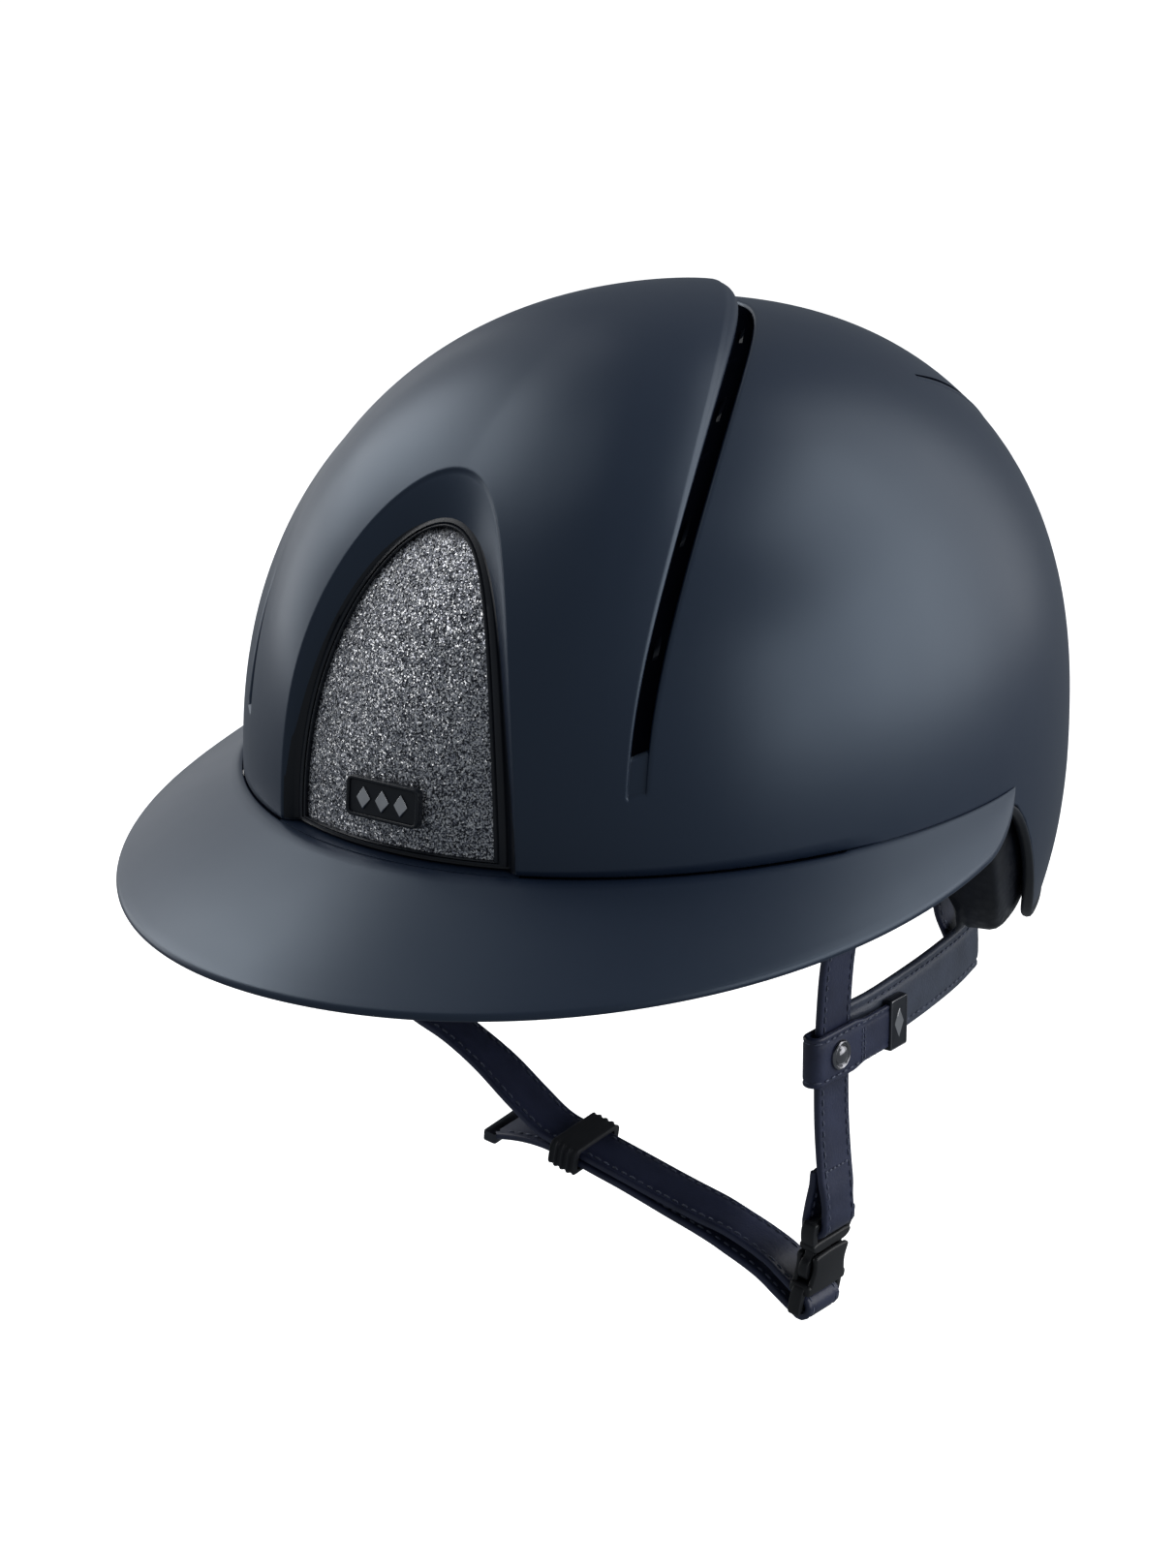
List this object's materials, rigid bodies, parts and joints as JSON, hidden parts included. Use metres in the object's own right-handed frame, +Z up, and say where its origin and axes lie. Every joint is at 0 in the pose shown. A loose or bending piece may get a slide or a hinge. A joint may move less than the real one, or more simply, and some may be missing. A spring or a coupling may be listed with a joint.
{
  "type": "equestrian riding helmet",
  "caption": "Domed riding helmet with a wide wrap-around brim, an arched glitter front panel, an air scoop over the crown, padded liners and a leather harness with a side-release buckle.",
  "frame": {"origin": "centre of the head opening, level with the root of the brim", "axes": "+Z up towards the crown, -Y towards the front of the helmet, +X towards the wearer's left"},
  "size_m": [0.2418, 0.315, 0.282],
  "materials": {
    "shell_paint": "matt navy paint with a soft sheen",
    "dark_trim": "satin near-black plastic",
    "glitter": "silver glitter on dark grey-blue",
    "bright_metal": "polished",
    "impact_foam": "fine-beaded foam",
    "liner_fabric": "quilted mesh fabric",
    "webbing": "woven webbing",
    "leather": "fine-grained navy leather with stitched edges",
    "buckle_plastic": "matt moulded black plastic",
    "keeper_rubber": "ribbed black rubber"
  },
  "bodies": {
    "helmet": {"outer_shell": "shell_paint", "rim_binding": "dark_trim", "brim": "shell_paint", "brim_gasket": "dark_trim", "brim_screws": "bright_metal", "panel_frame": "dark_trim", "front_panel": "glitter", "badge_plate": "dark_trim", "badge_emblem": "bright_metal", "crown_grille": "dark_trim", "rear_grille_left": "dark_trim", "rear_grille_right": "dark_trim", "impact_liner": "impact_foam", "crown_pad": "liner_fabric", "headband_pad": "liner_fabric", "nape_pad": "liner_fabric", "front_hanger_left": "webbing", "front_hanger_right": "webbing", "pivot_rivet_left": "bright_metal", "pivot_rivet_right": "bright_metal", "rear_hanger_left": "leather", "rear_hanger_right": "leather", "hanger_rivets": "bright_metal", "rear_strap_left": "leather", "rear_strap_right": "leather"},
    "harness": {"front_strap_left": "leather", "tab_loop_left": "leather", "tab_loop_right": "leather", "snap_stud_left": "bright_metal", "snap_stud_right": "bright_metal", "buckle_tongue": "buckle_plastic", "chin_strap": "leather", "chin_tail": "leather", "tail_tip": "bright_metal"},
    "tab_left": {"tab_leaf_left": "leather", "snap_cap_left": "bright_metal", "tab_label_left": "dark_trim"},
    "tab_right": {"tab_leaf_right": "leather", "snap_cap_right": "bright_metal", "tab_label_right": "dark_trim"},
    "chin_end": {"buckle_housing": "buckle_plastic", "chin_strap_end": "leather"},
    "prong_front": {"prong_front": "buckle_plastic"},
    "prong_rear": {"prong_rear": "buckle_plastic"},
    "keeper": {"strap_keeper": "keeper_rubber"}
  },
  "joints": [
    {"name": "harness_swing", "type": "hinge", "parent": "helmet", "child": "harness", "pos_m": [0, -0.026, -0.014], "axis": [1, 0, 0], "range_deg": [0, 25], "deforming": ["rear_strap_left", "rear_strap_right"]},
    {"name": "tab_left_fold", "type": "hinge", "parent": "harness", "child": "tab_left", "pos_m": [0.0781, -0.0352, -0.0728], "axis": [0, 0, -1], "range_deg": [0, 75]},
    {"name": "tab_right_fold", "type": "hinge", "parent": "harness", "child": "tab_right", "pos_m": [-0.0781, -0.0352, -0.0728], "axis": [0, 0, 1], "range_deg": [0, 75]},
    {"name": "buckle_release", "type": "slide", "parent": "harness", "child": "chin_end", "axis": [-0.1736, 0, -0.9848], "range_m": [0, 0.018]},
    {"name": "prong_front_squeeze", "type": "hinge", "parent": "harness", "child": "prong_front", "pos_m": [0.07412, -0.0323, -0.13029], "axis": [0.9848, 0, -0.1736], "range_deg": [0, 8], "stiffness_Nm_per_rad": 0.02},
    {"name": "prong_rear_squeeze", "type": "hinge", "parent": "harness", "child": "prong_rear", "pos_m": [0.07412, -0.0197, -0.13029], "axis": [0.9848, 0, -0.1736], "range_deg": [-8, 0], "stiffness_Nm_per_rad": 0.02},
    {"name": "keeper_slide", "type": "slide", "parent": "harness", "child": "keeper", "axis": [0.9724, 0, -0.2334], "range_m": [-0.003, 0.014]}
  ]
}
